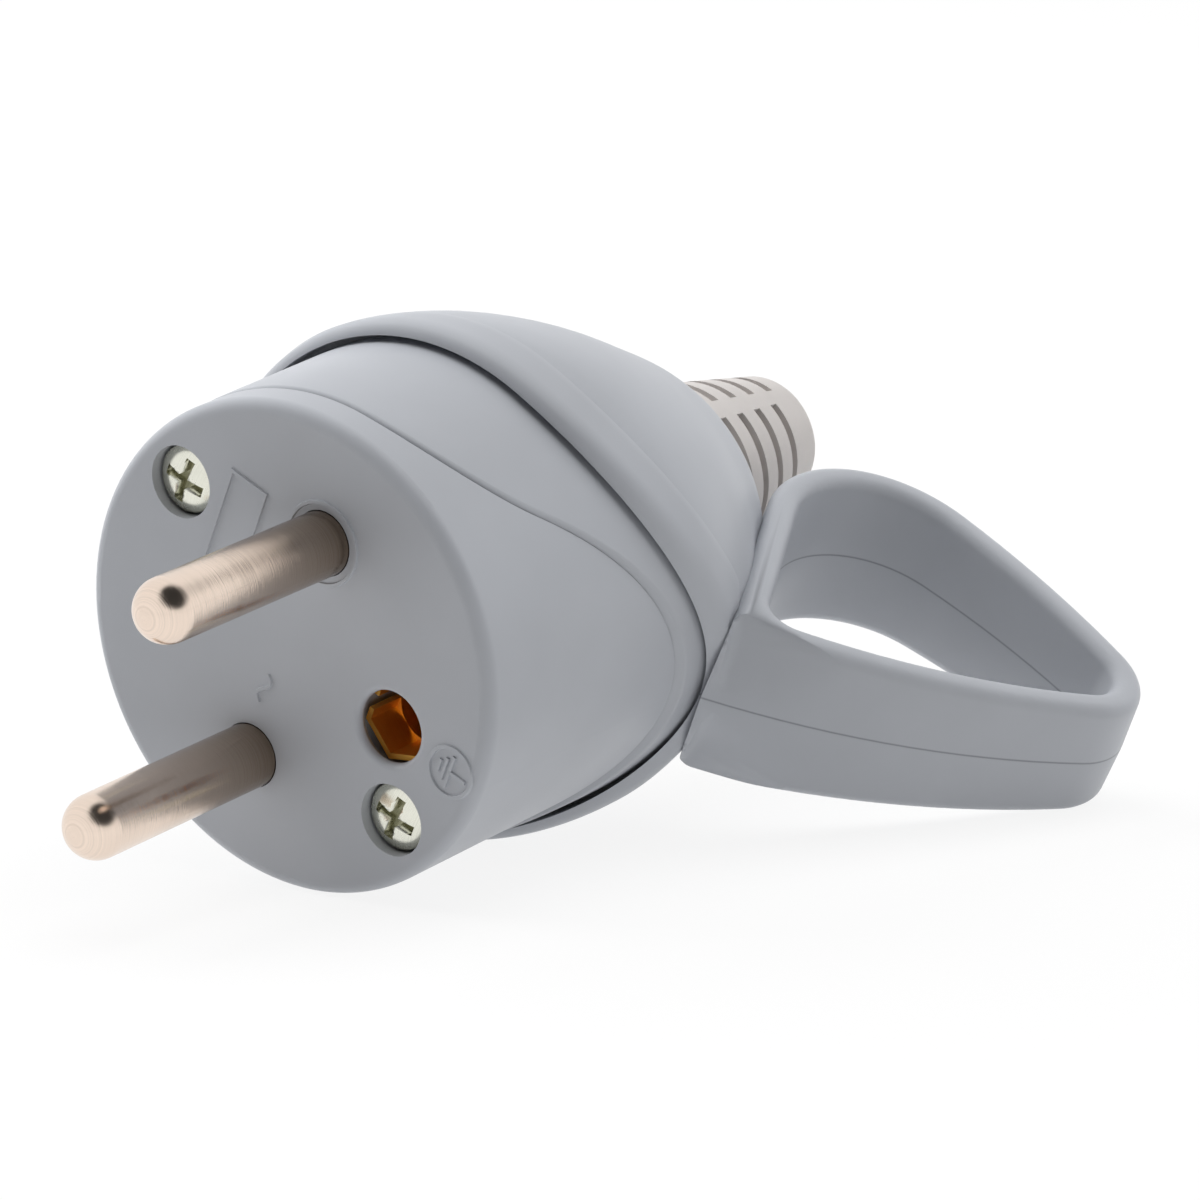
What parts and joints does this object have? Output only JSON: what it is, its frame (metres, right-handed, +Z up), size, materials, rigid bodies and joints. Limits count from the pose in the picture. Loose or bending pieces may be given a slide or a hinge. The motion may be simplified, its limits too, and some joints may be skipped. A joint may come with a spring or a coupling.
{
  "type": "electrical plug",
  "caption": "Round wiring plug with pins and an earth hole, a domed collar with a finger loop for pulling it out, and a slit boot for the cord.",
  "frame": {"origin": "middle of the plug's face, halfway between the pins", "axes": "+Z up from the table that the plug lies on, +Y back along the plug's axis as seen from above, +X towards the finger loop"},
  "size_m": [0.0579, 0.079, 0.04],
  "materials": {
    "grey_polypropylene": "fine matte moulding",
    "light_grey_soft_plastic": "soft matte moulding",
    "nickel_plated_brass": "nickel plate with fine turning lines",
    "bare_brass": "bare strip",
    "zinc_plated_steel": "bright zinc with a yellow-green tint"
  },
  "bodies": {
    "root": {"front_body": "grey_polypropylene", "rear_cover": "grey_polypropylene", "pull_ring": "grey_polypropylene", "cord_boot": "light_grey_soft_plastic", "line_pin": "nickel_plated_brass", "neutral_pin": "nickel_plated_brass", "earth_contact": "bare_brass", "terminal_screws": "zinc_plated_steel", "cover_screws": "zinc_plated_steel", "cord_clamp": "grey_polypropylene", "clamp_screws": "zinc_plated_steel"}
  },
  "joints": []
}
